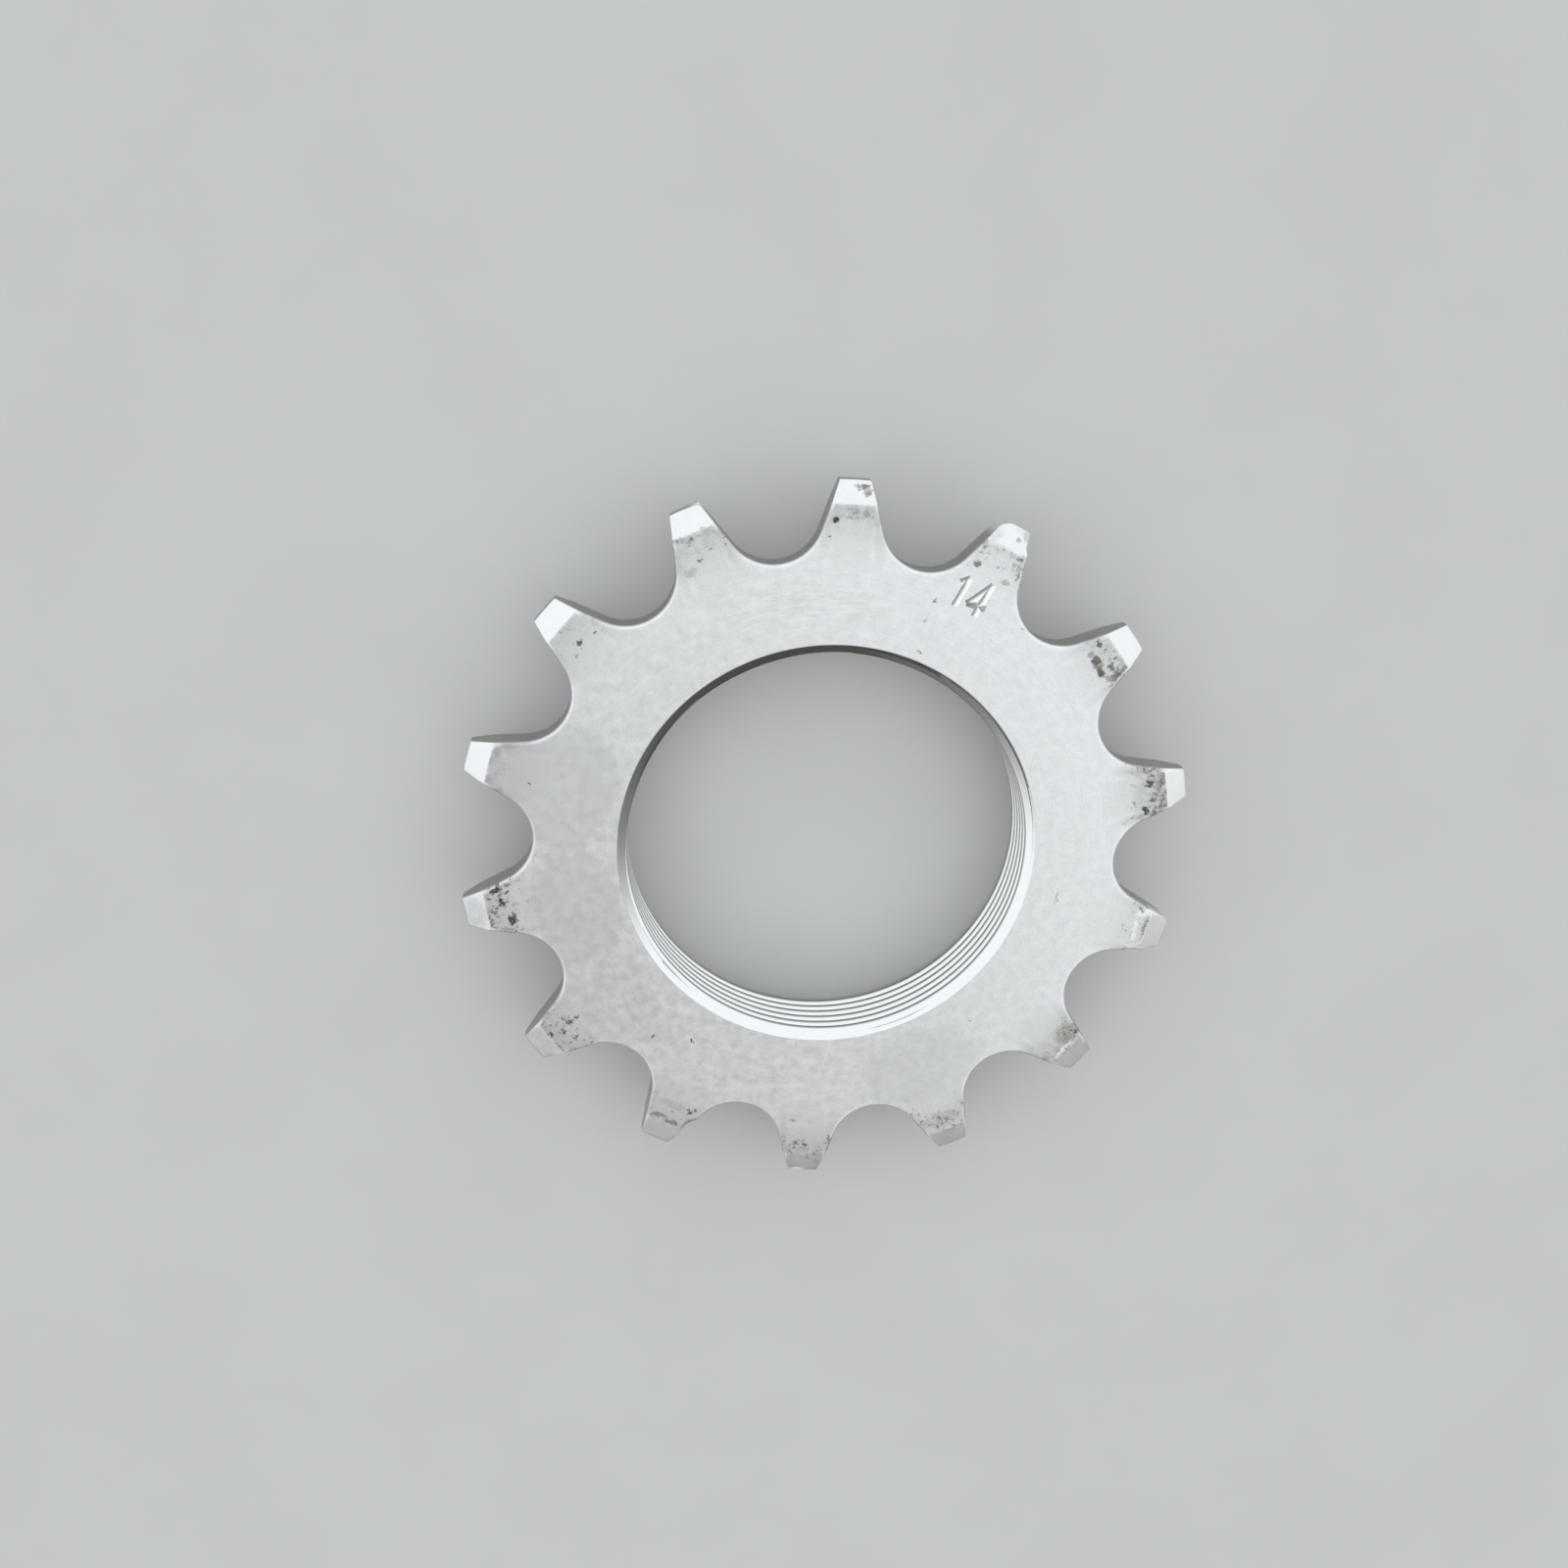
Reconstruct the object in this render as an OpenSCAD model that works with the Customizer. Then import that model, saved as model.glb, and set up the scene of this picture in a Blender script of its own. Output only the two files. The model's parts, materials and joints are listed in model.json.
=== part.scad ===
// Track cog: a one-piece threaded sprocket for a fixed-wheel bicycle hub.
// It lies on the back of its boss with the flat front face up. The origin is the
// centre of the bore on the back face, +Z runs along the bore towards the front,
// and one tooth points along +Y.

/* [Teeth] */
// Number of teeth around the rim
teeth = 14; // [13:1:22]
// Pitch of the chain, from the middle of one roller to the next
chain_pitch = 12.7; // [12.2:0.1:14]
// Diameter of the chain's rollers
roller_d = 7.75; // [6:0.05:8.5]
// Room that a roller has in its seat, on the diameter
seat_clearance = 0.25; // [0.05:0.05:0.5]
// Lean of a gap's flanks away from the line through the middle of the gap
flank_angle = 30; // [24:0.5:36]
// Height of the tooth tips above the pitch circle
tip_height = 2.25; // [1.6:0.05:3]
// Thickness of the plate that the teeth are cut in
plate_t = 2.8; // [2:0.1:4]

/* [Turned bevel on the tips] */
// Width of the bevel on each face of the tips, along the radius
tip_bevel_w = 1.95; // [0.8:0.05:2.4]
// Depth of the bevel at the tips, below the face
tip_bevel_depth = 0.75; // [0.2:0.05:0.95]

/* [Edges of the gaps] */
// Bevel that breaks the sharp edges of the gaps, on both faces
edge_break = 0.2; // [0.05:0.05:0.4]

/* [Boss] */
// Full depth of the cog along its bore
cog_depth = 7.2; // [5.5:0.1:10]
// Diameter of the boss behind the teeth
boss_d = 44; // [40:0.5:46]
// Radius of the fillet at the foot of the boss
boss_fillet = 1; // [0.3:0.1:1.2]
// Bevel on the outer edge of the boss's back face
boss_bevel = 0.6; // [0.2:0.1:1.5]

/* [Bore] */
// Diameter of the bore over the crests of its thread
bore_d = 33.66; // [32:0.02:36]
// Width of the countersink at each end of the bore, along the radius
countersink_w = 0.75; // [0.3:0.05:1.5]
// Depth of that countersink, along the bore
countersink_depth = 0.5; // [0.2:0.05:1.5]

/* [Hidden] */
$fn = 96;
// Overshoot of a cutting body past the surface that it cuts
over = 0.5;
tooth_step = 360 / teeth;
pitch_r = chain_pitch / (2 * sin(tooth_step / 2));
seat_r = (roller_d + seat_clearance) / 2;
tip_r = pitch_r + tip_height;
boss_r = boss_d / 2;
bore_r = bore_d / 2;
plate_back = cog_depth - plate_t;
// Place where a flank leaves the round seat, and its run from there past the tips
flank_start = [-seat_r * sin(flank_angle), seat_r * cos(flank_angle)];
flank_run = (tip_height + over - flank_start[0]) / cos(flank_angle);

// Half section of the turned blank: bore, boss and bevelled rim, as radius and height.
module blank_section() {
    difference() {
        polygon([
            [bore_r + countersink_w, 0],
            [boss_r - boss_bevel, 0],
            [boss_r, boss_bevel],
            [boss_r, plate_back - boss_fillet],
            [boss_r + boss_fillet, plate_back - boss_fillet],
            [boss_r + boss_fillet, plate_back],
            [tip_r - tip_bevel_w, plate_back],
            [tip_r, plate_back + tip_bevel_depth],
            [tip_r, cog_depth - tip_bevel_depth],
            [tip_r - tip_bevel_w, cog_depth],
            [bore_r + countersink_w, cog_depth],
            [bore_r, cog_depth - countersink_depth],
            [bore_r, countersink_depth]
        ]);
        translate([boss_r + boss_fillet, plate_back - boss_fillet]) circle(boss_fillet);
    }
}

// Outline of one gap about its pitch point: a round roller seat that runs into straight flanks.
// X points out along the radius.
module gap_outline() {
    mouth = flank_start + flank_run * [cos(flank_angle), sin(flank_angle)];
    circle(seat_r);
    polygon([
        flank_start,
        mouth,
        [mouth[0], -mouth[1]],
        [flank_start[0], -flank_start[1]]
    ]);
}

// Broken edge of one gap, with the face that it opens onto at height 0: a cone along
// the seat and a sloping wedge along each flank.
module gap_edge() {
    translate([0, 0, -edge_break])
        cylinder(h = edge_break + over, r1 = seat_r, r2 = seat_r + edge_break + over);
    for (side = [0, 1])
        mirror([0, side, 0])
            translate([flank_start[0], flank_start[1], 0])
                rotate([0, 0, flank_angle])
                    rotate([90, 0, 90])
                        linear_extrude(flank_run)
                            polygon([
                                [-seat_r / 2, -edge_break],
                                [0, -edge_break],
                                [edge_break + over, over],
                                [-seat_r / 2, over]
                            ]);
}

// Everything that is cut away for one gap, from the plate's back face to its front face.
module gap() {
    translate([0, 0, plate_back - over]) linear_extrude(plate_t + 2 * over) gap_outline();
    translate([0, 0, cog_depth]) gap_edge();
    translate([0, 0, plate_back]) mirror([0, 0, 1]) gap_edge();
}

// The cog: a turned blank with its gaps cut round the rim.
module cog() {
    color([0.78, 0.79, 0.8])
        difference() {
            rotate_extrude() blank_section();
            for (i = [0 : teeth - 1])
                rotate([0, 0, 90 + (i + 0.5) * tooth_step]) translate([pitch_r, 0, 0]) gap();
        }
}

cog();
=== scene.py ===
import json
import math

import bmesh
import bpy
from mathutils import Matrix, Vector


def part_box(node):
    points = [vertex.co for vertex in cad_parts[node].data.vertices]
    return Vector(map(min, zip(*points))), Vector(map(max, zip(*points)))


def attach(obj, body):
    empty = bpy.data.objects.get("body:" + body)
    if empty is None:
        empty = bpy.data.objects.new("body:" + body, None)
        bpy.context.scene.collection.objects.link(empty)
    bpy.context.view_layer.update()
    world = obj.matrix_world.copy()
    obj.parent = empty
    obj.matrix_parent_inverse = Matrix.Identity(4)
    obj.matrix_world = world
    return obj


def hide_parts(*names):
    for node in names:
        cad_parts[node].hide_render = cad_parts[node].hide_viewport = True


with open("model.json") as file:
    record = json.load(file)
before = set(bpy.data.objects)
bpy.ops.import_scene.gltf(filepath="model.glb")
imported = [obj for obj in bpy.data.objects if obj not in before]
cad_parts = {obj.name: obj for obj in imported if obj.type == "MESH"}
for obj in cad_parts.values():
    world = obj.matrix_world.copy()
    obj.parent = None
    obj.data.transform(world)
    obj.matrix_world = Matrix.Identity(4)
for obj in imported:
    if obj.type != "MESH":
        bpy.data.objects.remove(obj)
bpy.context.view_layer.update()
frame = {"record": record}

# The turned and cut ring
# The cog is one piece of carbon steel. A round blank is turned to its section: two flat faces, a
# bevel on both sides of the tips and a boss behind. A form cutter then takes out one gap after
# another, so all the teeth are alike, and the sharp edges that it leaves are broken.
mm = 0.001
teeth = 14
tooth_step = 2 * math.pi / teeth
chain_pitch = 12.7 * mm
cog_low, cog_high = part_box("cog")
front_z = cog_high.z
tip_r = cog_high.y
pitch_r = chain_pitch / (2 * math.sin(tooth_step / 2))
seat_r = 4.0 * mm
flank_lean = math.radians(30)
plate_t = 2.8 * mm
bevel_w = 1.95 * mm
bevel_depth = 0.75 * mm
edge_break = 0.2 * mm
edge_least = 0.05 * mm
boss_r = 22.0 * mm
boss_fillet = 1.0 * mm
boss_bevel = 0.6 * mm
rim_r = 17.58 * mm
plate_back = front_z - plate_t
crease_r = tip_r - bevel_w
foot_r = boss_r + boss_fillet
boss_end_r = boss_r - boss_bevel
steel = bpy.data.materials.new("cog_steel")

# Cuts along half a seat, a flank and half a tip, and the shares of the way out over the front, the
# back and the bevel at which a row of points lies
seat_cuts = 12
flank_cuts = 5
tip_cuts = 3
half_columns = seat_cuts + flank_cuts + tip_cuts
front_rows = (0, 0.015, 0.25, 0.5, 0.75, 1)
back_rows = (0.05, 0.5, 1)
bevel_rows = (1 / 3, 2 / 3, 1)
rounding_turns = [math.radians(turn) for turn in (90, 60, 30, 0)]
fillet_turns = [math.radians(turn) for turn in range(0, 91, 15)]
# Distances from an edge at which a row of points keeps the shading of a flat face flat
crease_soft = 0.05 * mm
hold = 0.15 * mm
weld = 0.002 * mm

flank_way = Vector((math.cos(flank_lean), math.sin(flank_lean)))
flank_in = Vector((-flank_way.y, flank_way.x))
flank_foot = Vector((pitch_r, 0)) + seat_r * flank_in

# Radii and heights of the boss, from the fillet at its foot round to the bore's back rim
boss_section = []
for turn in fillet_turns:
    fillet_drop = boss_fillet * (1 - math.cos(turn))
    boss_section.append((foot_r - boss_fillet * math.sin(turn), plate_back - fillet_drop))
boss_section += [(boss_r, plate_back - boss_fillet - hold), (boss_r, boss_bevel + hold)]
boss_section += [(boss_r, boss_bevel), (boss_end_r, 0), (boss_end_r - hold, 0)]
boss_section += [((boss_r + rim_r) / 2, 0), (rim_r + hold, 0), (rim_r, 0)]


def half_outline():
    """Points from the middle of a gap to the middle of a tooth, each with its way into the metal."""
    points = []
    for i in range(seat_cuts):
        turn = math.pi - (math.pi / 2 - flank_lean) * i / seat_cuts
        way = Vector((math.cos(turn), math.sin(turn)))
        points.append((Vector((pitch_r, 0)) + seat_r * way, way))
    lean = flank_foot.dot(flank_way)
    flank_length = math.sqrt(lean**2 + tip_r**2 - flank_foot.length_squared) - lean
    for i in range(flank_cuts):
        points.append((flank_foot + flank_way * flank_length * i / flank_cuts, flank_in))
    corner = flank_foot + flank_way * flank_length
    corner_angle = math.atan2(corner.y, corner.x)
    for i in range(tip_cuts + 1):
        angle = corner_angle + (tooth_step / 2 - corner_angle) * i / tip_cuts
        way = Vector((math.cos(angle), math.sin(angle)))
        points.append((tip_r * way, (flank_in - way) if i == 0 else -way))
    return points


def bevel_drop(radius):
    """How far the turned bevel lies below the face at a radius."""
    return max(0.0, radius - crease_r) * bevel_depth / bevel_w


def polar(radius, angle, height):
    """Point at a radius, an angle round the axis and a height."""
    return Vector((radius * math.cos(angle), radius * math.sin(angle), height))


def column(edge, inward, bore_angle):
    """Points of one column and their kinds, from the bore's front rim over the teeth to its back rim."""
    width = max(edge_least, edge_break - bevel_drop(edge.length))
    end = edge + inward * (width + hold)
    end_r = end.length
    end_angle = math.atan2(end.y, end.x)

    def face_rows(inner_r, shares):
        """Radii over a flat face and its bevel, from the inner circle out to the edge."""
        flat_end = min(end_r, crease_r - hold)
        radii = [inner_r + (flat_end - inner_r) * share for share in shares]
        radii += [min(end_r, crease_r + way) for way in (-crease_soft, crease_soft, hold)]
        bevel_start = radii[-1]
        return radii + [bevel_start + (end_r - bevel_start) * share for share in bevel_rows]

    def turned(radius, inner_r):
        """Angle of the column at a radius: even round the inner circle, on the outline at the edge."""
        return bore_angle + (end_angle - bore_angle) * (radius - inner_r) / (end_r - inner_r)

    rows = []
    for r in face_rows(rim_r, front_rows):
        rows.append((polar(r, turned(r, rim_r), front_z - bevel_drop(r)), "face"))
    rounding = []
    for turn in rounding_turns:
        inset = edge + inward * width * (1 - math.cos(turn))
        drop = bevel_drop(inset.length) + width * (1 - math.sin(turn))
        rounding.append((inset, drop))
    rows += [(Vector((p.x, p.y, front_z - drop)), "edge") for p, drop in rounding]
    wall_drop = rounding[-1][1] + hold
    rows.append((Vector((edge.x, edge.y, front_z - wall_drop)), "wall"))
    rows.append((Vector((edge.x, edge.y, plate_back + wall_drop)), "wall"))
    rows += [(Vector((p.x, p.y, plate_back + drop)), "edge") for p, drop in reversed(rounding)]
    for r in reversed(face_rows(foot_r, back_rows)):
        rows.append((polar(r, turned(r, foot_r), plate_back + bevel_drop(r)), "face"))
    rows += [(polar(r, bore_angle, z), "face") for r, z in boss_section]
    return rows


# One sector, from the middle of a tooth over a gap to the middle of the next tooth
half = half_outline()
mirrored = [(Vector((p.x, -p.y)), Vector((n.x, -n.y))) for p, n in reversed(half[1:])]
columns = []
for i, (edge, inward) in enumerate(mirrored + half):
    bore_angle = tooth_step / 2 * (i - half_columns) / half_columns
    columns.append(column(edge, inward, bore_angle))
row_count = len(columns[0])
faces = []
for i in range(len(columns) - 1):
    for k in range(row_count - 1):
        a = i * row_count + k
        faces.append((a, a + 1, a + 1 + row_count, a + row_count))
sector = bpy.data.meshes.new("sector")
sector.from_pydata([p for rows in columns for p, kind in rows], [], faces)
for label, wanted in (("worn_edge", "edge"), ("gap_wall", "wall")):
    layer = sector.attributes.new(label, "FLOAT", "POINT")
    layer.data.foreach_set("value", [float(kind == wanted) for rows in columns for p, kind in rows])


def feed(tree, node, feeds):
    """Feeds a node's inputs from sockets or with plain values."""
    for key, value in feeds.items():
        if isinstance(value, bpy.types.NodeSocket):
            tree.links.new(value, node.inputs[key])
        else:
            node.inputs[key].default_value = value


def add_node(tree, kind, feeds=None, **settings):
    """Adds a node with its settings and feeds its inputs."""
    node = tree.nodes.new(kind)
    for name, value in settings.items():
        setattr(node, name, value)
    feed(tree, node, feeds or {})
    return node


def calc(tree, operation, *terms):
    """Result of one arithmetic step on sockets and numbers."""
    return add_node(tree, "ShaderNodeMath", dict(enumerate(terms)), operation=operation).outputs[0]


def geometry_tree(name, sizes):
    """Starts a tree with geometry in and out and a named input for each size."""
    tree = bpy.data.node_groups.new(name, "GeometryNodeTree")
    for label, kind in {"Geometry": "Geometry", **sizes}.items():
        tree.interface.new_socket(label, in_out="INPUT", socket_type="NodeSocket" + kind)
    tree.interface.new_socket("Geometry", in_out="OUTPUT", socket_type="NodeSocketGeometry")
    return tree, add_node(tree, "NodeGroupInput").outputs


def finish_tree(tree, geometry, given):
    """Ends a tree: real geometry, welded seams and the finish."""
    solid = add_node(tree, "GeometryNodeRealizeInstances", {0: geometry}).outputs[0]
    feeds = {"Geometry": solid, "Distance": given["Weld"]}
    welded = add_node(tree, "GeometryNodeMergeByDistance", feeds).outputs[0]
    feeds = {"Geometry": welded, "Material": given["Finish"]}
    finished = add_node(tree, "GeometryNodeSetMaterial", feeds).outputs[0]
    add_node(tree, "NodeGroupOutput", {0: finished})


def made_mesh(obj):
    """Plain mesh of an object as its modifiers leave it."""
    evaluated = obj.evaluated_get(bpy.context.evaluated_depsgraph_get())
    return bpy.data.meshes.new_from_object(evaluated)


def run_tree(mesh, tree, sizes):
    """Mesh that a tree makes of another one, with these sizes."""
    obj = bpy.data.objects.new(tree.name, mesh)
    bpy.context.scene.collection.objects.link(obj)
    modifier = obj.modifiers.new(tree.name, "NODES")
    modifier.node_group = tree
    for item in tree.interface.items_tree:
        if item.in_out == "INPUT" and item.name in sizes:
            modifier[item.identifier] = sizes[item.name]
    result = made_mesh(obj)
    bpy.data.objects.remove(obj)
    return result


tree, given = geometry_tree("teeth_round_the_rim", {
    "Teeth": "Int", "First gap": "Float", "Weld": "Float", "Finish": "Material"})
dots = add_node(tree, "GeometryNodePoints", {"Count": given["Teeth"]}).outputs[0]
step = calc(tree, "DIVIDE", 2 * math.pi, given["Teeth"])
index = add_node(tree, "GeometryNodeInputIndex").outputs[0]
angle = calc(tree, "MULTIPLY_ADD", index, step, given["First gap"])
turn = add_node(tree, "ShaderNodeCombineXYZ", {"Z": angle}).outputs[0]
feeds = {"Points": dots, "Instance": given["Geometry"], "Rotation": turn}
finish_tree(tree, add_node(tree, "GeometryNodeInstanceOnPoints", feeds).outputs[0], given)
first_gap = math.pi / 2 + tooth_step / 2
ring = run_tree(sector, tree, {"Teeth": teeth, "First gap": first_gap, "Weld": weld, "Finish": steel})

# The hub thread
# A right-hand thread of 24 turns to the inch is cut in the bore, to screw onto the hub. Its
# crests lie on the bore of the mount, and it runs out into a countersink at each end.
mounts = {mount["name"]: mount for mount in frame["record"]["mounts"]}
crest_r = mounts["hub_thread"]["dims"]["r_mm"] * mm
inch = 25.4 * mm
turns_per_inch = 24
thread_pitch = inch / turns_per_inch
depth_per_pitch = 0.5413
thread_depth = depth_per_pitch * thread_pitch
countersink_depth = 0.5 * mm
countersink_slope = (rim_r - crest_r) / countersink_depth
thread_turns = math.ceil(front_z / thread_pitch) + 1
cuts_per_turn = 2 * half_columns * teeth
# Flats on crest and root, and each flank between them, as shares of the pitch
crest_flat = 1 / 4
root_flat = 1 / 8
flank_share = (1 - crest_flat - root_flat) / 2
flank_rows = 3

profile_points = [(0.0, 0.0), (crest_flat / 2, 0.0)]
for i in range(1, flank_rows + 1):
    profile_points.append((crest_flat / 2 + flank_share * i / flank_rows, i / flank_rows))
profile_points += [(1 - across, depth) for across, depth in reversed(profile_points)]
profile = bpy.data.meshes.new("thread_profile")
profile.from_pydata(
    [(crest_r + thread_depth * depth, 0, thread_pitch * across) for across, depth in profile_points],
    [(i, i + 1) for i in range(len(profile_points) - 1)], [])


def capture(tree, geometry, kind, value):
    """Geometry that carries a value along with it, and that value further on."""
    node = add_node(tree, "GeometryNodeCaptureAttribute", {"Geometry": geometry}, domain="POINT")
    node.capture_items.new(kind, "kept")
    tree.links.new(value, node.inputs["kept"])
    return node.outputs["Geometry"], node.outputs["kept"]


# The profile is swept along a line of cuts, and each cut is then wound to its place on the helix
tree, given = geometry_tree("thread_in_the_bore", {
    "Turns": "Int", "Cuts per turn": "Int", "Pitch": "Float", "Depth of bore": "Float",
    "Rim radius": "Float", "Countersink slope": "Float", "Weld": "Float", "Finish": "Material"})
place_field = add_node(tree, "GeometryNodeInputPosition").outputs[0]
cuts = calc(tree, "MULTIPLY_ADD", given["Turns"], given["Cuts per turn"], 1.0)
path = add_node(tree, "GeometryNodeMeshLine", {"Count": cuts, "Offset": (0, 0, mm)}).outputs[0]
path = add_node(tree, "GeometryNodeMeshToCurve", {0: path}).outputs[0]
index = add_node(tree, "GeometryNodeInputIndex").outputs[0]
path, turns = capture(tree, path, "FLOAT", calc(tree, "DIVIDE", index, given["Cuts per turn"]))
shape = add_node(tree, "GeometryNodeMeshToCurve", {0: given["Geometry"]}).outputs[0]
shape, across = capture(tree, shape, "VECTOR", place_field)
band = add_node(tree, "GeometryNodeCurveToMesh", {"Curve": path, "Profile Curve": shape}).outputs[0]
across = add_node(tree, "ShaderNodeSeparateXYZ", {0: across}).outputs
rise = calc(tree, "MULTIPLY_ADD", calc(tree, "SUBTRACT", turns, 1.0), given["Pitch"], across["Z"])
feeds = {"Value": rise, "Min": 0.0, "Max": given["Depth of bore"]}
height = add_node(tree, "ShaderNodeClamp", feeds).outputs[0]
to_front = calc(tree, "SUBTRACT", given["Depth of bore"], height)
to_end = calc(tree, "MINIMUM", height, to_front)
narrowing = calc(tree, "MULTIPLY", to_end, given["Countersink slope"])
cone = calc(tree, "SUBTRACT", given["Rim radius"], narrowing)
reach = calc(tree, "MAXIMUM", across["X"], cone)
angle = calc(tree, "MULTIPLY", turns, 2 * math.pi)
feeds = {"X": calc(tree, "MULTIPLY", reach, calc(tree, "COSINE", angle)),
         "Y": calc(tree, "MULTIPLY", reach, calc(tree, "SINE", angle)), "Z": height}
wound = add_node(tree, "ShaderNodeCombineXYZ", feeds).outputs[0]
band = add_node(tree, "GeometryNodeSetPosition", {"Geometry": band, "Position": wound}).outputs[0]
finish_tree(tree, band, given)
thread = run_tree(profile, tree, {
    "Turns": thread_turns, "Cuts per turn": cuts_per_turn, "Pitch": thread_pitch,
    "Depth of bore": front_z, "Rim radius": rim_r, "Countersink slope": countersink_slope,
    "Weld": weld, "Finish": steel})

# The stamp and the worn tips
# Ring and thread are one piece of steel, and are joined here. The number of teeth is stamped in the
# front with hand punches, and use has dented some of the tips and worn some of their corners round.
stamp_w = 0.56 * mm
stamp_depth = 0.27 * mm
stamp_end = 0.15 * mm
stamp_lean = Vector((-0.17 * mm, 0, 0))
number_tooth = 2
# Strokes of the number from end to end, each end as its place sideways and out on the tooth
strokes = (
    ((-1.85, 24.87), (-1.36, 25.38)), ((-1.36, 25.38), (-1.37, 22.98)),
    ((0.58, 25.78), (-0.49, 23.61)), ((-0.49, 23.61), (0.97, 23.86)), ((0.58, 25.78), (0.49, 23.00)),
)
stroke_faces = ((0, 1, 2, 3), (1, 0, 4), (3, 2, 5), (2, 1, 4, 5), (0, 3, 5, 4))
# Dents, as tooth, then out, side and height of the middle and the reach along those three ways
dents = (
    (8, (30.85, 0.58, 6.65), (0.60, 0.85, 0.50)),
    (9, (28.50, -2.10, 7.35), (1.20, 0.75, 0.90)),
)
dent_fineness = 4
# Corners of tips that are worn round, as tooth, side, radius and depth from the front
worn_corners = (
    (2, -1, 1.30, 3.0), (2, 1, 3.00, 1.2), (5, -1, 1.10, 3.0), (5, 1, 0.80, 3.0), (14, 1, 0.55, 1.5),
)
corner_steps = 6
cutter_over = 1 * mm


def tooth_axes(number):
    """Directions out along a tooth and clockwise past it, seen from the front; tooth 1 is on +Y."""
    angle = math.pi / 2 - (number - 1) * tooth_step
    out_way = Vector((math.cos(angle), math.sin(angle), 0))
    return out_way, Vector((out_way.y, -out_way.x, 0))


def on_tooth(number, out, side, height=0.0):
    """Place at a distance out from the cog's axis and sideways from the tooth's middle line."""
    out_way, side_way = tooth_axes(number)
    return out * out_way + side * side_way + Vector((0, 0, height))


def corner_path(round_r):
    """Points that round off a tip's corner, out along the tooth and aside, and past it at both ends."""
    tip_corner = half[seat_cuts + flank_cuts][0]
    corner_turn = tooth_step / 2 - math.atan2(tip_corner.y, tip_corner.x)
    corner_side = tip_corner.length * math.sin(corner_turn)
    corner_out = tip_corner.length * math.cos(corner_turn)
    sweep = math.pi / 2 - (flank_lean - tooth_step / 2)
    run = round_r * math.tan(sweep / 2)
    middle = Vector((corner_out - round_r, corner_side - run))
    points = []
    for i in range(corner_steps + 1):
        turn = sweep * i / corner_steps
        points.append(middle + round_r * Vector((math.cos(turn), math.sin(turn))))
    points[0] += (points[0] - points[1]).normalized() * round_r
    points[-1] += (points[-1] - points[-2]).normalized() * round_r
    past_side = corner_side + 2 * round_r
    past_out = corner_out + 2 * round_r
    past = [(points[-1].x, past_side), (past_out, past_side), (past_out, points[0].y)]
    return points + [Vector(p) for p in past]


cog_mesh = bmesh.new()
cog_mesh.from_mesh(ring)
cog_mesh.from_mesh(thread)
bmesh.ops.remove_doubles(cog_mesh, verts=cog_mesh.verts, dist=weld)
bmesh.ops.dissolve_degenerate(cog_mesh, edges=cog_mesh.edges, dist=weld)
bmesh.ops.recalc_face_normals(cog_mesh, faces=cog_mesh.faces)
joined = bpy.data.meshes.new("cog_turned")
joined.materials.append(steel)
cog_mesh.to_mesh(joined)
cog_mesh.free()
cog = bpy.data.objects.new("track_cog", joined)
bpy.context.scene.collection.objects.link(cog)

cutters = bmesh.new()
for start, end in strokes:
    first, last = (on_tooth(number_tooth, out * mm, side * mm, front_z) for side, out in (start, end))
    way = (last - first).normalized()
    aside = Vector((-way.y, way.x, 0)) * stamp_w
    lift = Vector((0, 0, stamp_depth))
    ends = way * stamp_end
    lips = [first - ends + aside, first - ends - aside, last + ends - aside, last + ends + aside]
    keel = [first - lift + stamp_lean, last - lift + stamp_lean]
    corners = [cutters.verts.new(p) for p in [lip + lift for lip in lips] + keel]
    for loop in stroke_faces:
        cutters.faces.new([corners[i] for i in loop])
for number, middle, reach in dents:
    out_way, side_way = tooth_axes(number)
    dent_turn = Matrix((out_way, side_way, Vector((0, 0, 1)))).transposed().to_4x4()
    dent_place = Matrix.Translation(on_tooth(number, *(v * mm for v in middle)))
    dent_sizes = Matrix.Diagonal((*(v * mm for v in reach), 1))
    bmesh.ops.create_icosphere(
        cutters, subdivisions=dent_fineness, radius=1, matrix=dent_place @ dent_turn @ dent_sizes)
for number, side, round_r, depth in worn_corners:
    path = corner_path(round_r * mm)
    low, high = (
        [cutters.verts.new(on_tooth(number, p.x, side * p.y, height)) for p in path]
        for height in (front_z - depth * mm, front_z + cutter_over))
    cutters.faces.new(low)
    cutters.faces.new(high)
    for i in range(len(path)):
        k = (i + 1) % len(path)
        cutters.faces.new((low[i], low[k], high[k], high[i]))
bmesh.ops.recalc_face_normals(cutters, faces=cutters.faces)
cutter_mesh = bpy.data.meshes.new("cutters")
cutters.to_mesh(cutter_mesh)
cutters.free()
cutter_mesh.materials.append(steel)
cutter = bpy.data.objects.new("cutters", cutter_mesh)
bpy.context.scene.collection.objects.link(cutter)
cut = cog.modifiers.new("stamp_and_wear", "BOOLEAN")
cut.object = cutter
cut.operation = "DIFFERENCE"
cut.solver = "EXACT"
cut.use_self = True
cog.data = made_mesh(cog)
cog.modifiers.remove(cut)
bpy.data.objects.remove(cutter)

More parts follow.
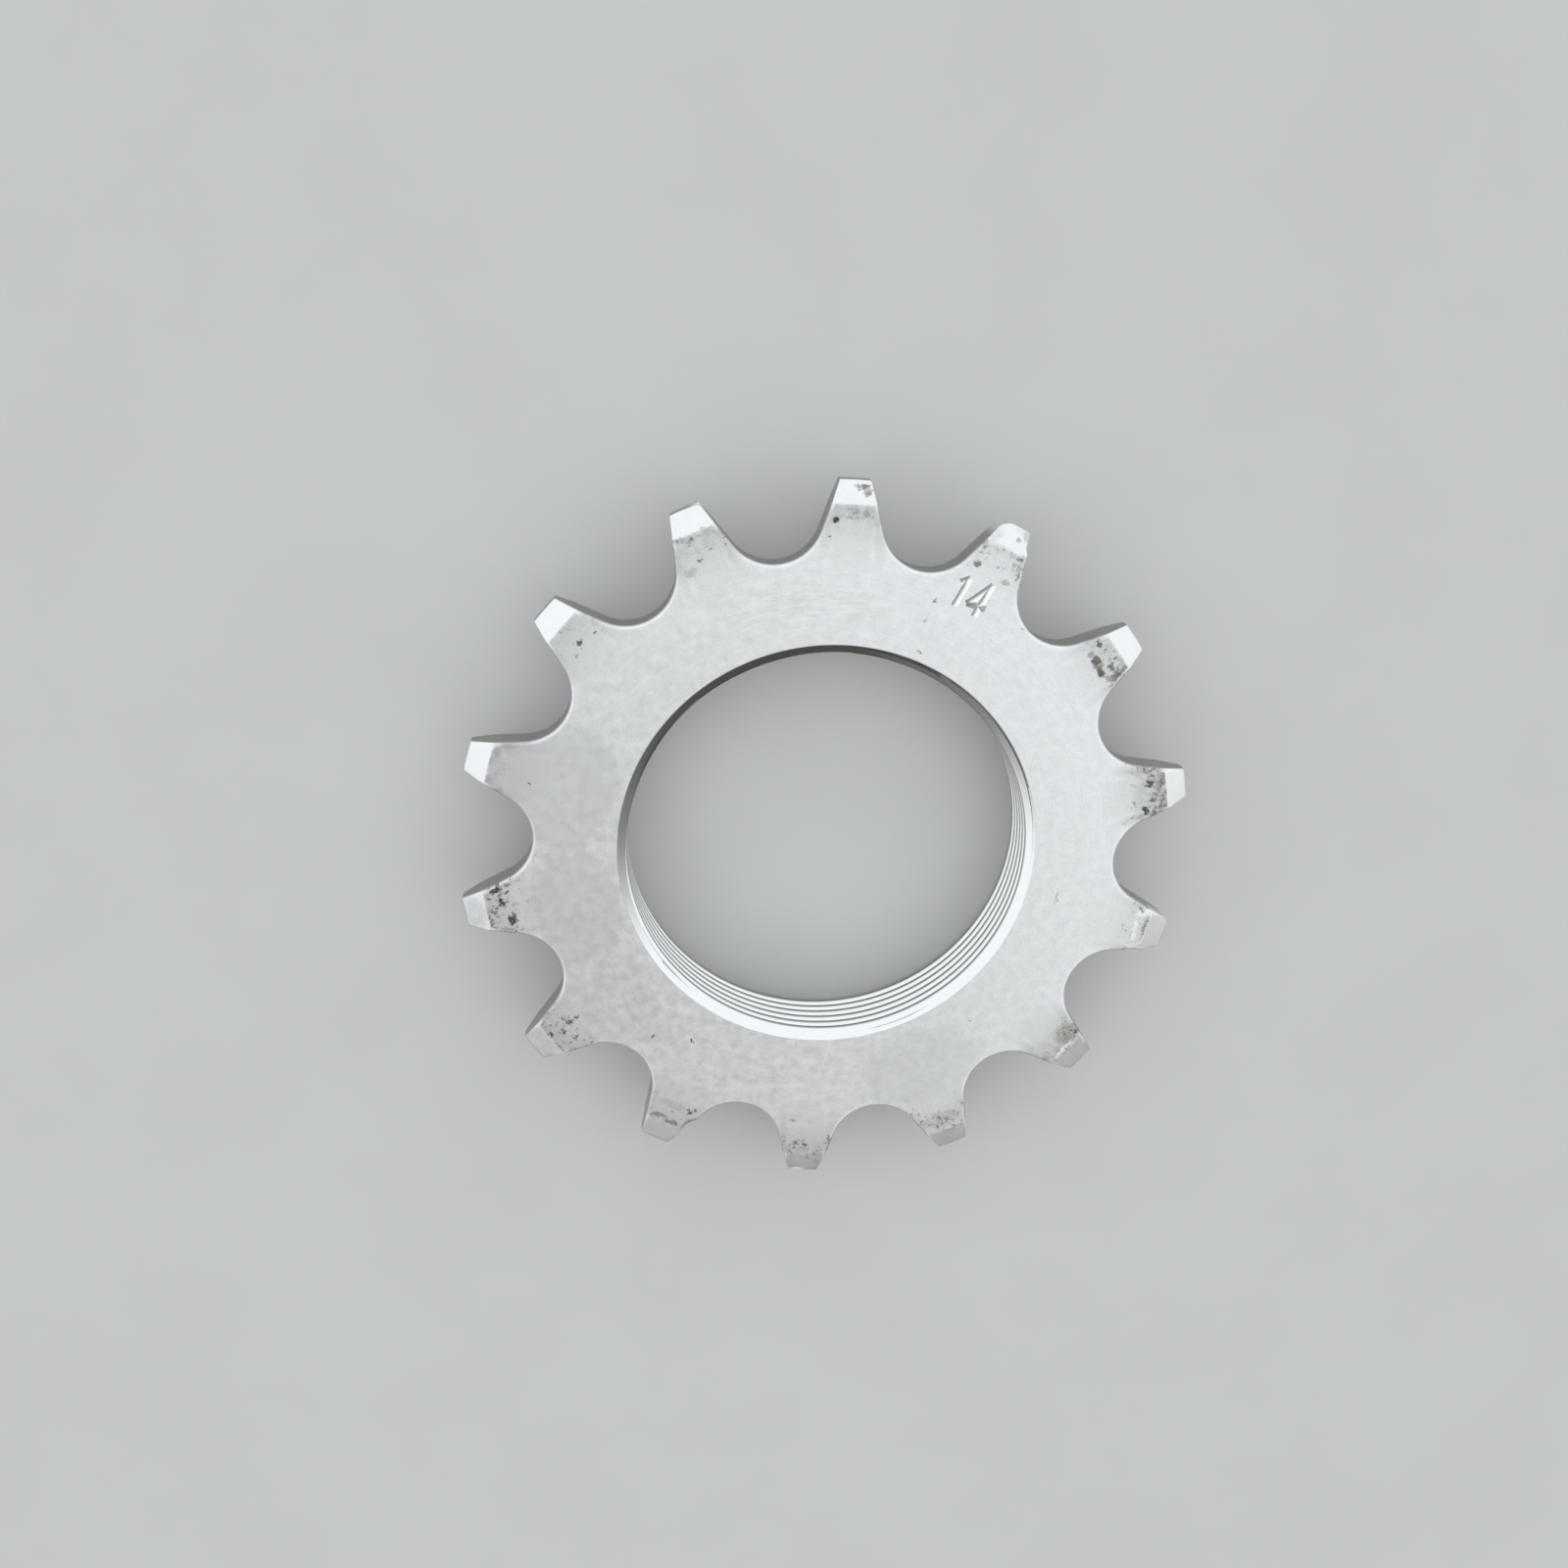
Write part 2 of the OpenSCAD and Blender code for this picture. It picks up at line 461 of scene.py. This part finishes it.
# The plating, the chain's grime, and painted shade and highlight
# The bright steel has a thin silver plating that has gone satin. Turning shows through it as faint
# rings, and a chain has left grime and rub marks by the teeth. Painted shade darkens one side of the
# bore, the thread's crests, the gap walls and one wall of each stamped stroke, which also holds dirt,
# and a painted highlight brightens the other wall of each stroke.
bright_silver = (0.88, 0.885, 0.89, 1)
dull_silver = (0.70, 0.705, 0.71, 1)
bore_silver = (0.86, 0.865, 0.87, 1)
rubbed_bright = (0.93, 0.93, 0.93, 1)
# Painted highlight on the walls of the stamped strokes that face left
stamp_highlight_white = (0.98, 0.98, 0.98, 1)
# Painted shade on the walls of the gaps
wall_shade_steel = (0.40, 0.395, 0.385, 1)
# Painted shade on one side of the bore and on the thread's crests, and dirt with painted shade in the
# strokes
grime_and_shade_grey = (0.20, 0.197, 0.19, 1)
smudge_grey = (0.33, 0.325, 0.31, 1)
stain_brown = (0.26, 0.22, 0.15, 1)
pit_black = (0.03, 0.027, 0.022, 1)

# Marks on the front, each as tooth, out and sideways place, length across the tooth, width
# along it, turn in degrees and strength, with lengths in millimetres
pits = (
    (1, 27.64, -1.42, 0.55, 0.45, 0, 1.0), (1, 26.29, -1.76, 0.26, 0.20, 0, 0.7),
    (2, 27.18, 0.05, 0.24, 0.28, 0, 0.6), (2, 27.29, 1.90, 0.20, 0.70, 10, 0.6),
    (2, 22.48, -3.02, 0.36, 0.30, 0, 0.6), (2, 20.66, -2.85, 0.20, 0.50, 0, 0.4),
    (2, 18.28, -1.99, 0.55, 0.18, 0, 0.7), (2, 23.90, 4.64, 0.50, 0.10, 0, 0.6),
    (3, 27.95, -1.56, 0.60, 0.45, 0, 0.8), (3, 27.03, -0.40, 0.80, 0.80, 0, 0.6),
    (3, 26.80, 0.45, 0.80, 0.60, 0, 0.6), (3, 26.75, 0.85, 0.50, 0.60, 0, 0.5),
    (3, 27.81, 0.75, 0.80, 0.60, 0, 0.55), (3, 27.90, 1.45, 0.70, 0.60, 0, 0.6),
    (3, 27.45, 1.60, 0.80, 0.50, 0, 0.5), (3, 28.50, 1.46, 0.40, 0.50, 0, 0.5),
    (3, 27.05, 1.39, 0.60, 0.60, 0, 0.45), (3, 26.90, -1.17, 0.50, 0.70, 0, 0.35),
    (4, 27.57, -0.75, 0.70, 0.60, 0, 0.9), (4, 26.97, 1.57, 0.80, 0.55, 20, 1.0),
    (4, 27.63, 0.78, 0.45, 0.55, 0, 0.7), (4, 28.05, 0.20, 0.30, 0.30, 0, 0.5),
    (5, 28.62, -0.33, 2.60, 0.20, 0, 0.6), (5, 27.66, -1.80, 0.50, 0.26, 30, 0.6),
    (5, 20.25, -0.80, 1.10, 0.14, 5, 0.6),
    (6, 28.19, -1.63, 0.60, 0.36, 20, 0.7), (6, 27.55, -0.95, 0.30, 0.26, 0, 0.5),
    (6, 27.30, -1.60, 0.30, 0.24, 0, 0.5), (6, 27.75, -1.45, 0.30, 0.30, 0, 0.6),
    (6, 20.11, 3.57, 0.12, 0.70, 0, 0.5),
    (7, 27.55, 0.28, 0.40, 0.30, 0, 0.6), (7, 27.23, 1.76, 0.40, 0.30, 0, 0.6),
    (7, 26.12, 2.31, 0.24, 0.24, 0, 0.6), (7, 26.96, -2.19, 0.36, 0.24, 0, 0.6),
    (7, 27.94, -0.33, 0.30, 0.24, 0, 0.5),
    (8, 27.72, 0.83, 0.45, 0.32, 0, 0.8), (8, 27.81, 0.13, 0.40, 0.32, 0, 0.8),
    (8, 29.23, -0.28, 0.45, 0.28, 0, 0.7), (8, 29.57, -1.12, 0.26, 0.30, 0, 0.6),
    (8, 27.22, -2.03, 0.40, 0.50, 0, 0.6), (8, 18.05, 1.52, 0.10, 0.80, 0, 0.5),
    (9, 26.90, -1.45, 0.40, 0.32, 0, 0.9), (9, 26.58, -1.78, 0.45, 0.34, 0, 0.9),
    (9, 26.70, -1.20, 0.30, 0.30, 0, 0.7), (9, 28.34, 1.05, 1.50, 0.30, 16, 0.45),
    (9, 28.42, -0.40, 1.60, 0.30, 0, 0.5),
    (9, 20.70, 1.73, 0.22, 0.50, 40, 0.9), (9, 21.90, 4.91, 0.20, 0.46, -10, 0.9),
    (10, 26.67, 0.32, 0.65, 0.60, 0, 0.9), (10, 26.86, 0.86, 0.50, 0.28, 30, 0.7),
    (10, 25.97, 0.31, 0.45, 0.36, 0, 0.8), (10, 28.59, 0.31, 0.50, 0.34, 0, 0.9),
    (10, 27.62, -0.15, 0.65, 0.34, 0, 0.9), (10, 27.04, -1.12, 0.36, 0.65, 0, 0.8),
    (11, 27.78, 1.71, 0.55, 1.00, 20, 1.0), (11, 27.55, 0.58, 0.70, 0.62, 0, 1.0),
    (11, 27.00, 1.39, 0.32, 0.48, 0, 0.9), (11, 28.03, 0.06, 0.26, 0.45, 0, 0.8),
    (11, 26.97, -1.17, 1.05, 0.75, 0, 1.0), (11, 26.78, -0.69, 0.36, 0.36, 0, 0.8),
    (12, 25.33, -0.79, 0.22, 0.22, 0, 0.8),
    (13, 27.06, -0.07, 0.75, 0.45, 0, 0.9), (13, 26.75, 1.47, 0.28, 0.28, 0, 0.8),
    (13, 26.49, -1.02, 0.40, 0.22, 0, 0.5),
    (14, 26.67, -0.35, 0.60, 0.26, 0, 0.8), (14, 27.18, 0.72, 0.40, 0.20, 0, 0.6),
)
stains = (
    (1, 30.26, 0.60, 1.30, 0.50, 0, 1.0), (1, 29.92, 1.02, 0.75, 0.75, 0, 1.0),
    (2, 26.70, -1.58, 0.75, 0.65, 0, 1.0), (2, 26.43, 1.26, 0.80, 0.60, 0, 0.5),
    (3, 27.03, -0.40, 0.95, 0.95, 0, 1.0), (3, 26.80, 0.50, 1.10, 0.60, 0, 1.0),
    (6, 27.50, -1.05, 2.50, 1.90, 0, 0.55), (7, 27.60, 0.20, 4.20, 1.10, 0, 0.35),
    (9, 26.85, 0.10, 2.60, 0.80, 0, 0.4), (14, 26.08, -1.47, 1.00, 0.70, 0, 0.4),
)
smudges = (
    (1, 28.20, 0.10, 3.80, 1.00, 0, 0.85), (2, 28.36, -1.85, 0.90, 0.80, 0, 0.9),
    (2, 28.00, 1.60, 1.00, 1.60, 0, 0.7), (2, 29.85, 0.45, 0.50, 0.40, 0, 0.7),
    (2, 30.40, 1.35, 1.20, 0.90, -35, 0.4), (2, 28.45, -0.80, 1.50, 0.55, 0, 0.5),
    (2, 28.58, 0.45, 1.60, 0.55, 0, 0.5), (2, 28.75, 1.40, 0.90, 0.70, 0, 0.6),
    (2, 29.55, -1.51, 1.20, 1.60, 0, 0.25), (2, 26.70, -1.58, 0.70, 0.60, 0, 0.9),
    (3, 27.60, 0.50, 2.80, 2.10, 0, 0.45), (3, 26.95, -0.10, 1.20, 0.90, 0, 0.9),
    (3, 27.81, 0.75, 0.90, 0.70, 0, 0.9), (3, 27.75, 1.50, 0.90, 0.80, 0, 0.9),
    (3, 28.50, 1.46, 0.50, 0.60, 0, 0.8), (3, 26.90, -1.17, 0.60, 0.80, 0, 0.6),
    (4, 27.90, 0.00, 4.00, 1.90, 0, 0.5), (5, 28.20, -0.20, 3.00, 0.60, 0, 0.4),
    (6, 27.50, -1.10, 2.20, 1.60, 0, 0.6), (8, 25.39, 1.39, 0.80, 0.30, 0, 0.9),
    (9, 28.34, 1.05, 1.50, 0.50, 16, 1.0), (9, 28.42, -0.40, 1.70, 0.50, 0, 1.0),
    (10, 28.59, 1.24, 1.00, 0.40, -20, 0.7), (10, 29.90, 0.20, 3.00, 2.00, 0, 0.25),
    (11, 29.90, -0.20, 3.00, 2.00, 0, 0.35), (12, 28.60, 1.25, 1.00, 0.60, 0, 0.5),
    (12, 27.30, 1.40, 0.70, 1.80, 0, 0.4), (14, 28.60, -0.60, 2.60, 0.55, -8, 0.9),
    (14, 28.95, 0.77, 0.60, 0.30, 0, 0.6), (14, 28.32, 1.26, 0.80, 0.60, 0, 0.7),
    (14, 27.86, 0.67, 1.00, 0.35, 0, 0.5),
)
rubs = (
    (5, 27.90, 0.30, 2.40, 0.40, 10, 0.7), (5, 29.20, -1.75, 0.80, 3.80, 17, 0.8),
    (6, 28.47, 0.20, 2.20, 0.28, 4, 0.7),
)
dull_patches = (
    (7, 22.00, 0.00, 11.0, 7.00, 0, 0.6), (10, 22.00, 0.00, 11.0, 7.00, 0, 0.4),
    (11, 21.50, -1.00, 11.0, 7.50, 0, 1.0), (12, 22.50, -0.50, 11.0, 8.50, 0, 1.0),
)
turned_arcs = (
    (1, 20.80, -1.50, 9.00, 2.60, 0, 1.0), (12, 21.00, 0.00, 8.00, 5.00, 0, 0.4),
    (14, 21.30, 2.00, 7.00, 2.40, 0, 0.6),
)
# A spot fades between these shares of its reach, and its rim is pushed about by this many lumps to
# the millimetre and this far
spot_rim = 1.2
spot_core = 0.7
ragged_scale = 3.5
ragged_reach = 0.8

# Heights, radii and distances in millimetres between which the front, the bore, the painted shade on the
# thread's crests, the front countersink and the painted shade on one side of the bore set in
front_sets_in = (5.6, 6.0)
bore_sets_in = (17.7, 17.5)
crest_shade_sets_in = (16.95, 16.86)
sink_sets_in = (6.5, 6.7)
sink_shade_sets_in = (-5.0, 8.0)
sink_shade_way = (-0.35, 0.94, 0.0)
# Shares that these coats and painted shades cover at most
sink_shade_share = 0.7
crest_shade_share = 0.7
bore_share = 0.8
worn_share = 0.15
crumb_share = 0.65

# Turning marks run far round the axis and little along the radius
streak_round = 8
streak_across = 4.5
# How strongly each kind of unevenness tells in the silver's tone
streak_tone = 0.2
cloud_tone = 0.45
speckle_tone = 0.35
arc_tone = 0.7
dull_tone = -0.26
crumb_gain = 0.22
# Roughness of the polished silver, of the smoother bore against it, and of the dirt
polish_least = 0.28
polish_most = 0.38
bore_polish = 0.35
dirt_rough = 0.7
smudge_dirt = 0.5
dirt_dulls = 0.9
# Heights of the turning marks and the speckle in millimetres, and how much is left in the bore
streak_low = 0.001
streak_high = 0.007
speckle_high = 0.004
bore_relief = 0.2


def vector_calc(tree, operation, *terms):
    """Result of one arithmetic step on vectors."""
    node = add_node(tree, "ShaderNodeVectorMath", dict(enumerate(terms)), operation=operation)
    return node.outputs["Value" if operation in ("LENGTH", "DOT_PRODUCT") else "Vector"]


def ramp(tree, value, start, end, low=0.0, high=1.0):
    """Smooth rise from low at start to high at end."""
    feeds = {"Value": value, "From Min": start, "From Max": end, "To Min": low, "To Max": high}
    node = add_node(tree, "ShaderNodeMapRange", feeds, interpolation_type="SMOOTHSTEP")
    return node.outputs["Result"]


def noise(tree, place, scale, detail=3.0, rough=0.55):
    """Cloudy noise from 0 to 1, with a scale in lumps to the unit of place."""
    feeds = {"Vector": place, "Scale": scale, "Detail": detail, "Roughness": rough}
    return add_node(tree, "ShaderNodeTexNoise", feeds).outputs["Fac"]


def mix_colour(tree, share, first, second):
    """First colour, with a share of the second laid over it."""
    node = add_node(tree, "ShaderNodeMix", {0: share, 6: first, 7: second}, data_type="RGBA")
    return node.outputs[2]


def spot_tree():
    """One spot, added to the spots before it: its strength inside an ellipse and 0 outside."""
    tree = bpy.data.node_groups.new("spot", "ShaderNodeTree")
    kinds = {"Place": "Vector", "Centre": "Vector", "Turn": "Float", "Stretch": "Vector",
             "Strength": "Float", "Before": "Float"}
    for label, kind in kinds.items():
        tree.interface.new_socket(label, in_out="INPUT", socket_type="NodeSocket" + kind)
    tree.interface.new_socket("After", in_out="OUTPUT", socket_type="NodeSocketFloat")
    given = add_node(tree, "NodeGroupInput").outputs
    offset = vector_calc(tree, "SUBTRACT", given["Place"], given["Centre"])
    feeds = {"Vector": offset, "Angle": given["Turn"]}
    turned = add_node(tree, "ShaderNodeVectorRotate", feeds, rotation_type="Z_AXIS").outputs[0]
    reach = vector_calc(tree, "LENGTH", vector_calc(tree, "MULTIPLY", turned, given["Stretch"]))
    inside = calc(tree, "MULTIPLY", ramp(tree, reach, spot_rim, spot_core), given["Strength"])
    add_node(tree, "NodeGroupOutput", {"After": calc(tree, "MAXIMUM", given["Before"], inside)})
    return tree


spot = spot_tree()
steel.use_nodes = True
tree = steel.node_tree
shader = tree.nodes["Principled BSDF"]
object_place = add_node(tree, "ShaderNodeTexCoord").outputs["Object"]
place = vector_calc(tree, "DIVIDE", object_place, (mm, mm, mm))
flat_place = vector_calc(tree, "MULTIPLY", place, (1, 1, 0))
radius = vector_calc(tree, "LENGTH", flat_place)
height_up = add_node(tree, "ShaderNodeSeparateXYZ", {0: place}).outputs["Z"]
front = ramp(tree, height_up, *front_sets_in)
bore = ramp(tree, radius, *bore_sets_in)
feeds = {"Vector": place, "Scale": ragged_scale, "Detail": 3}
ragged = add_node(tree, "ShaderNodeTexNoise", feeds).outputs["Color"]
ragged = vector_calc(tree, "SUBTRACT", ragged, (0.5, 0.5, 0.5))
ragged = vector_calc(tree, "MULTIPLY", ragged, (ragged_reach, ragged_reach, 0))
ragged_place = vector_calc(tree, "ADD", flat_place, ragged)


def lay_spots(spots):
    """Share of the steel under a list of marks, on the front half only."""
    share = 0.0
    for number, out, side, length, width, turn, strength in spots:
        side_way = tooth_axes(number)[1]
        along = math.atan2(side_way.y, side_way.x) + math.radians(turn)
        node = add_node(steel.node_tree, "ShaderNodeGroup", node_tree=spot)
        feeds = {"Place": ragged_place, "Centre": on_tooth(number, out, side), "Turn": -along,
                 "Stretch": (2 / length, 2 / width, 0), "Strength": strength, "Before": share}
        feed(steel.node_tree, node, feeds)
        share = node.outputs["After"]
    return calc(steel.node_tree, "MULTIPLY", share, front)


def painted(label):
    """Value that the cog's mesh carries under this name."""
    return add_node(steel.node_tree, "ShaderNodeAttribute", attribute_name=label).outputs["Fac"]


# Unevenness of the plating
round_way = vector_calc(tree, "NORMALIZE", flat_place)
round_way = vector_calc(tree, "MULTIPLY", round_way, (streak_round, streak_round, 0))
across_way = calc(tree, "MULTIPLY", radius, streak_across)
across_way = add_node(tree, "ShaderNodeCombineXYZ", {"Z": across_way}).outputs[0]
streak_place = vector_calc(tree, "ADD", round_way, across_way)
streaks = noise(tree, streak_place, scale=1.0, detail=3.0, rough=0.6)
speckle = noise(tree, place, scale=2.6, detail=5.0, rough=0.65)
fine_speckle = noise(tree, place, scale=7.0, detail=3.0, rough=0.6)
cloud = noise(tree, place, scale=1.1, detail=4.0, rough=0.6)
broad_cloud = noise(tree, place, scale=0.16, detail=2.0)

# Shares of the dirt: film and crumbs of the chain, and the marks, all broken up by the speckle, and
# last the share of painted shade on one side of the bore
gap_wall = painted("gap_wall")
open_face = calc(tree, "SUBTRACT", 1.0, gap_wall)
film = calc(tree, "MULTIPLY", painted("film"), open_face)
film = calc(tree, "MULTIPLY", film, ramp(tree, cloud, 0.3, 0.65, low=0.4))
crumb_amount = calc(tree, "MULTIPLY", painted("crumbs"), open_face)
crumbs = calc(tree, "MULTIPLY_ADD", crumb_amount, crumb_gain, speckle)
crumbs = ramp(tree, crumbs, 0.62, 0.72, high=crumb_share)
crumbs = calc(tree, "MULTIPLY", crumbs, ramp(tree, crumb_amount, 0.02, 0.2))
pit_share = calc(tree, "MULTIPLY", lay_spots(pits), ramp(tree, fine_speckle, 0.36, 0.5, low=0.5))
pit_share = calc(tree, "MAXIMUM", pit_share, crumbs)
stain_share = calc(tree, "MULTIPLY", lay_spots(stains), ramp(tree, speckle, 0.32, 0.58, low=0.3))
smudge_share = calc(tree, "MULTIPLY", lay_spots(smudges), ramp(tree, speckle, 0.32, 0.62, low=0.3))
smudge_share = calc(tree, "MAXIMUM", smudge_share, film)
# Painted shade on one side of the bore near its front
sink_shade = vector_calc(tree, "DOT_PRODUCT", place, sink_shade_way)
sink_shade = ramp(tree, sink_shade, *sink_shade_sets_in, high=sink_shade_share)
sink_shade = calc(tree, "MULTIPLY", sink_shade, ramp(tree, height_up, *sink_sets_in))

# Tone of the silver, and the coats that lie on it from the lowest to the topmost, painted shade and
# painted highlight among them
tone = calc(tree, "MULTIPLY", cloud, cloud_tone)
tone = calc(tree, "MULTIPLY_ADD", streaks, streak_tone, tone)
tone = calc(tree, "MULTIPLY_ADD", fine_speckle, speckle_tone, tone)
arcs = calc(tree, "MULTIPLY", lay_spots(turned_arcs), calc(tree, "SUBTRACT", streaks, 0.5))
tone = calc(tree, "MULTIPLY_ADD", arcs, arc_tone, tone)
tone = calc(tree, "MULTIPLY_ADD", lay_spots(dull_patches), dull_tone, tone)
colour = mix_colour(tree, ramp(tree, tone, 0.25, 0.75), dull_silver, bright_silver)
coats = (
    (calc(tree, "MULTIPLY", bore, bore_share), bore_silver),
    # Painted shade on one side of the bore
    (calc(tree, "MULTIPLY", bore, sink_shade), grime_and_shade_grey),
    # Painted shade on the thread's crests
    (ramp(tree, radius, *crest_shade_sets_in, high=crest_shade_share), grime_and_shade_grey),
    (painted("rub"), rubbed_bright),
    # Painted shade on the gap walls
    (gap_wall, wall_shade_steel),
    (calc(tree, "MULTIPLY", painted("worn_edge"), worn_share), rubbed_bright),
    # Dirt and painted shade on the stroke walls that face right
    (painted("stamp_dirt_and_shade"), grime_and_shade_grey),
    # Painted highlight on the stroke walls that face left
    (painted("stamp_highlight"), stamp_highlight_white),
    (smudge_share, smudge_grey),
    (stain_share, stain_brown),
    (lay_spots(rubs), rubbed_bright),
    (pit_share, pit_black),
)
for share, coat in coats:
    colour = mix_colour(tree, share, colour, coat)
tree.links.new(colour, shader.inputs["Base Color"])

dirt = calc(tree, "MAXIMUM", pit_share, stain_share)
dirt = calc(tree, "MAXIMUM", dirt, calc(tree, "MULTIPLY", smudge_share, smudge_dirt))
metal = calc(tree, "SUBTRACT", 1.0, calc(tree, "MULTIPLY", dirt, dirt_dulls))
tree.links.new(metal, shader.inputs["Metallic"])
polish = ramp(tree, cloud, 0.25, 0.75, polish_least, polish_most)
polish = calc(tree, "MULTIPLY", polish, ramp(tree, bore, 0.0, 1.0, 1.0, bore_polish))
tree.links.new(ramp(tree, dirt, 0.0, 1.0, polish, dirt_rough), shader.inputs["Roughness"])
relief = ramp(tree, broad_cloud, 0.35, 0.65, streak_low, streak_high)
relief = calc(tree, "MULTIPLY", streaks, relief)
relief = calc(tree, "MULTIPLY_ADD", fine_speckle, speckle_high, relief)
relief = calc(tree, "MULTIPLY", relief, ramp(tree, bore, 0.0, 1.0, 1.0, bore_relief))
bump = add_node(tree, "ShaderNodeBump", {"Height": relief, "Distance": mm, "Strength": 1.0})
tree.links.new(bump.outputs["Normal"], shader.inputs["Normal"])

# Chain grime on each tooth from 1 to 14: how thick its grey film is, and how many black crumbs
# lie in it. It starts inside the bevel and thins towards the bore. The chain rubs the bevel bright.
tooth_film = (0.60, 0.30, 0.60, 1.00, 0.40, 0.85, 0.55, 0.75, 0.65, 0.75, 0.60, 0.85, 0.50, 0.65)
tooth_crumbs = (0.10, 0.20, 0.30, 0.50, 0.25, 0.25, 0.35, 0.38, 0.20, 0.36, 0.58, 0.06, 0.18, 0.20)
tooth_rub = (0.35, 0.30, 0.60, 0.90, 0.70, 0.60, 1.00, 0.85, 0.80, 0.20, 0.20, 0.55, 0.55, 0.45)
grime_start = 25.4 * mm
grime_full = 27.2 * mm
grime_end = crease_r + 0.1 * mm
bevel_share = 0.03
on_points = {"rub": [], "film": [], "crumbs": []}
for vertex in cog.data.vertices:
    out = vertex.co.xy.length
    turns = (math.pi / 2 - math.atan2(vertex.co.y, vertex.co.x)) / tooth_step
    number = round(turns) % teeth
    rise = min(1.0, max(0.0, (out - grime_start) / (grime_full - grime_start)))
    share = rise if out < grime_end else bevel_share
    on_points["rub"].append(tooth_rub[number] if out > crease_r else 0.0)
    on_points["film"].append(tooth_film[number] * share)
    on_points["crumbs"].append(tooth_crumbs[number] * share)

# Each stroke of the number gets dirt and painted shade on its left wall, which faces right, and a
# painted highlight on its right wall, which faces left
number_start = 22.0 * mm
number_end = 26.5 * mm
number_half = 2.2 * mm
stroke_below = 0.01 * mm
wall_least = 0.3
wall_gain = 4
wall_dirt_and_shade = 0.8
number_out, number_side = tooth_axes(number_tooth)
on_faces = {"stamp_dirt_and_shade": [], "stamp_highlight": []}
for face in cog.data.polygons:
    out = face.center.dot(number_out)
    side = face.center.dot(number_side)
    in_number = number_start < out < number_end and abs(side) < number_half
    on_wall = face.center.z < front_z - stroke_below and face.normal.z > wall_least
    rightward = max(-1.0, min(1.0, wall_gain * face.normal.x)) if in_number and on_wall else 0.0
    on_faces["stamp_dirt_and_shade"].append(wall_dirt_and_shade * max(0.0, rightward))
    on_faces["stamp_highlight"].append(max(0.0, -rightward))
for domain, layers in (("POINT", on_points), ("FACE", on_faces)):
    for label, values in layers.items():
        layer = cog.data.attributes.new(label, "FLOAT", domain)
        layer.data.foreach_set("value", values)
smooth_limit = math.radians(32)
cog.data.shade_smooth()
cog.data.set_sharp_from_angle(angle=smooth_limit)
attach(cog, "root")
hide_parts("cog")

# The floor
# A plain pale sheet that the cog lies on, in matt paper with a faint mottle. It is no part of the
# cog and only takes its shadow.
floor_half = 1.5
paper_dark = (0.58, 0.58, 0.57, 1)
paper_light = (0.60, 0.60, 0.59, 1)
paper_rough = 0.85
paper = bpy.data.materials.new("floor_paper")
paper.use_nodes = True
tree = paper.node_tree
shader = tree.nodes["Principled BSDF"]
object_place = add_node(tree, "ShaderNodeTexCoord").outputs["Object"]
mottle = ramp(tree, noise(tree, object_place, scale=60.0, detail=3.0), 0.3, 0.7)
paper_colour = mix_colour(tree, mottle, paper_dark, paper_light)
tree.links.new(paper_colour, shader.inputs["Base Color"])
shader.inputs["Roughness"].default_value = paper_rough
floor_mesh = bpy.data.meshes.new("floor")
floor_signs = ((-1, -1), (1, -1), (1, 1), (-1, 1))
floor_corners = [(x * floor_half, y * floor_half, cog_low.z) for x, y in floor_signs]
floor_mesh.from_pydata(floor_corners, [], [(0, 1, 2, 3)])
floor_mesh.materials.append(paper)
floor = bpy.data.objects.new("floor", floor_mesh)
bpy.context.scene.collection.objects.link(floor)

# The light
# A bright overcast tent: strongest from behind the top of the picture, dimmer towards the
# viewer and low down in front, with a soft dark patch where the viewer stands.
tent_up = Vector((-0.05, 0.35, 1.0)).normalized()
tent_sets_in = (-0.21, 0.57)
tent_least = 0.14
tent_strength = 1.12
tent_low = (1.0, 0.98, 0.94, 1)
tent_high = (0.945, 0.98, 1.0, 1)
viewer_way = Vector((-0.04, -0.46, 0.887)).normalized()
viewer_sets_in = (0.93, 0.995)
viewer_strength = 0.53
viewer_tint = (1.0, 0.995, 0.97, 1)
tent = bpy.data.worlds.new("tent")
tent.use_nodes = True
bpy.context.scene.world = tent
tree = tent.node_tree
way = add_node(tree, "ShaderNodeTexCoord").outputs["Generated"]
level = ramp(tree, vector_calc(tree, "DOT_PRODUCT", way, tent_up), *tent_sets_in, low=tent_least)
viewer = ramp(tree, vector_calc(tree, "DOT_PRODUCT", way, viewer_way), *viewer_sets_in)
strength = ramp(tree, viewer, 0.0, 1.0, tent_strength, viewer_strength)
strength = calc(tree, "MULTIPLY", level, strength)
tree.links.new(strength, tree.nodes["Background"].inputs["Strength"])
sky = mix_colour(tree, level, tent_low, tent_high)
sky = mix_colour(tree, viewer, sky, viewer_tint)
tree.links.new(sky, tree.nodes["Background"].inputs["Color"])
bpy.context.scene.view_settings.view_transform = "Standard"

# The camera
# It looks down on the cog as it lies, from the side and height of the photograph's view, and its
# lens takes in the same square frame.
camera_place = Vector((-18.16, 49.44, 142.64)) * mm
camera_aim = Vector((-4.10, 5.66, 7.2)) * mm
picture_up = Vector((-0.0653, 0.9979, 0))
lens = bpy.data.cameras.new("camera")
lens.sensor_width = 36
lens.lens = 39.84
lens.clip_start = 5 * mm
camera = bpy.data.objects.new("camera", lens)
bpy.context.scene.collection.objects.link(camera)
back_way = (camera_place - camera_aim).normalized()
right_way = picture_up.cross(back_way).normalized()
up_way = back_way.cross(right_way)
camera_turn = Matrix((right_way, up_way, back_way)).transposed().to_4x4()
camera.matrix_world = Matrix.Translation(camera_place) @ camera_turn
bpy.context.scene.camera = camera
